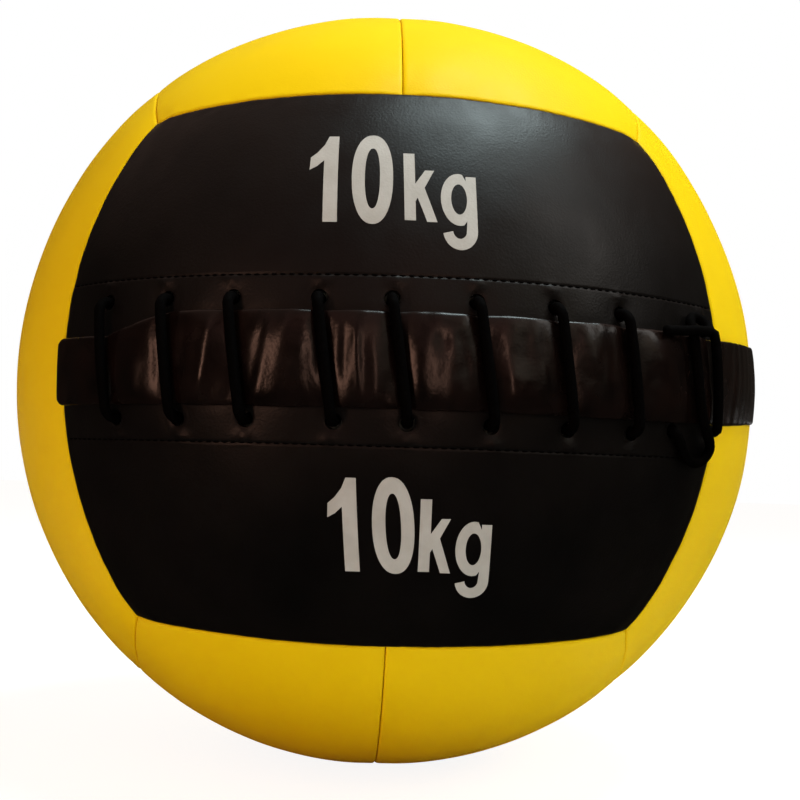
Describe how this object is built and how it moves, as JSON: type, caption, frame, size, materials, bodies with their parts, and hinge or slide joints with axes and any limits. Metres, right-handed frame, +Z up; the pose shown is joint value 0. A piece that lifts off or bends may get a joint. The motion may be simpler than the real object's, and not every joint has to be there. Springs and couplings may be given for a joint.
{
  "type": "wall ball",
  "caption": "Soft stuffed exercise ball with a sewn panel cover, closed at the front by a strip laced down over its opening.",
  "frame": {"origin": "on the floor under the ball's centre, in the middle of the small flat that the ball's weight presses", "axes": "+Z up, the laced opening faces -Y and runs along X, the strip's long end goes round to +X"},
  "size_m": [0.35, 0.3547, 0.3533],
  "materials": {
    "black_vinyl": "semi-gloss embossed vinyl on cloth",
    "yellow_vinyl": "semi-gloss embossed vinyl on cloth",
    "strip_vinyl": "glossy pebbled vinyl, puckered by the lace",
    "band_webbing": "woven webbing",
    "lace_cord": "braided round cord",
    "liner_canvas": "plain canvas",
    "fibre_filling": "packed textile fibre",
    "weight_cloth": "tight woven cotton",
    "iron_sand": "loose dark grains",
    "tie_nylon": "moulded nylon"
  },
  "bodies": {
    "root": {"panel_front_upper": "black_vinyl", "panel_front_lower": "black_vinyl", "panel_back_upper": "yellow_vinyl", "panel_back_lower": "yellow_vinyl", "panel_top_right": "yellow_vinyl", "panel_top_left": "yellow_vinyl", "panel_bottom_right": "yellow_vinyl", "panel_bottom_left": "yellow_vinyl", "panel_right_back": "yellow_vinyl", "panel_right_front": "yellow_vinyl", "panel_left_back": "yellow_vinyl", "panel_left_front": "yellow_vinyl", "eyelet_band_upper": "band_webbing", "eyelet_band_lower": "band_webbing", "cover_strip": "strip_vinyl", "lace": "lace_cord", "liner_upper": "liner_canvas", "liner_lower": "liner_canvas", "filling_upper": "fibre_filling", "filling_lower": "fibre_filling", "weight_bag": "weight_cloth", "iron_sand": "iron_sand", "bag_tie": "tie_nylon"}
  },
  "joints": []
}
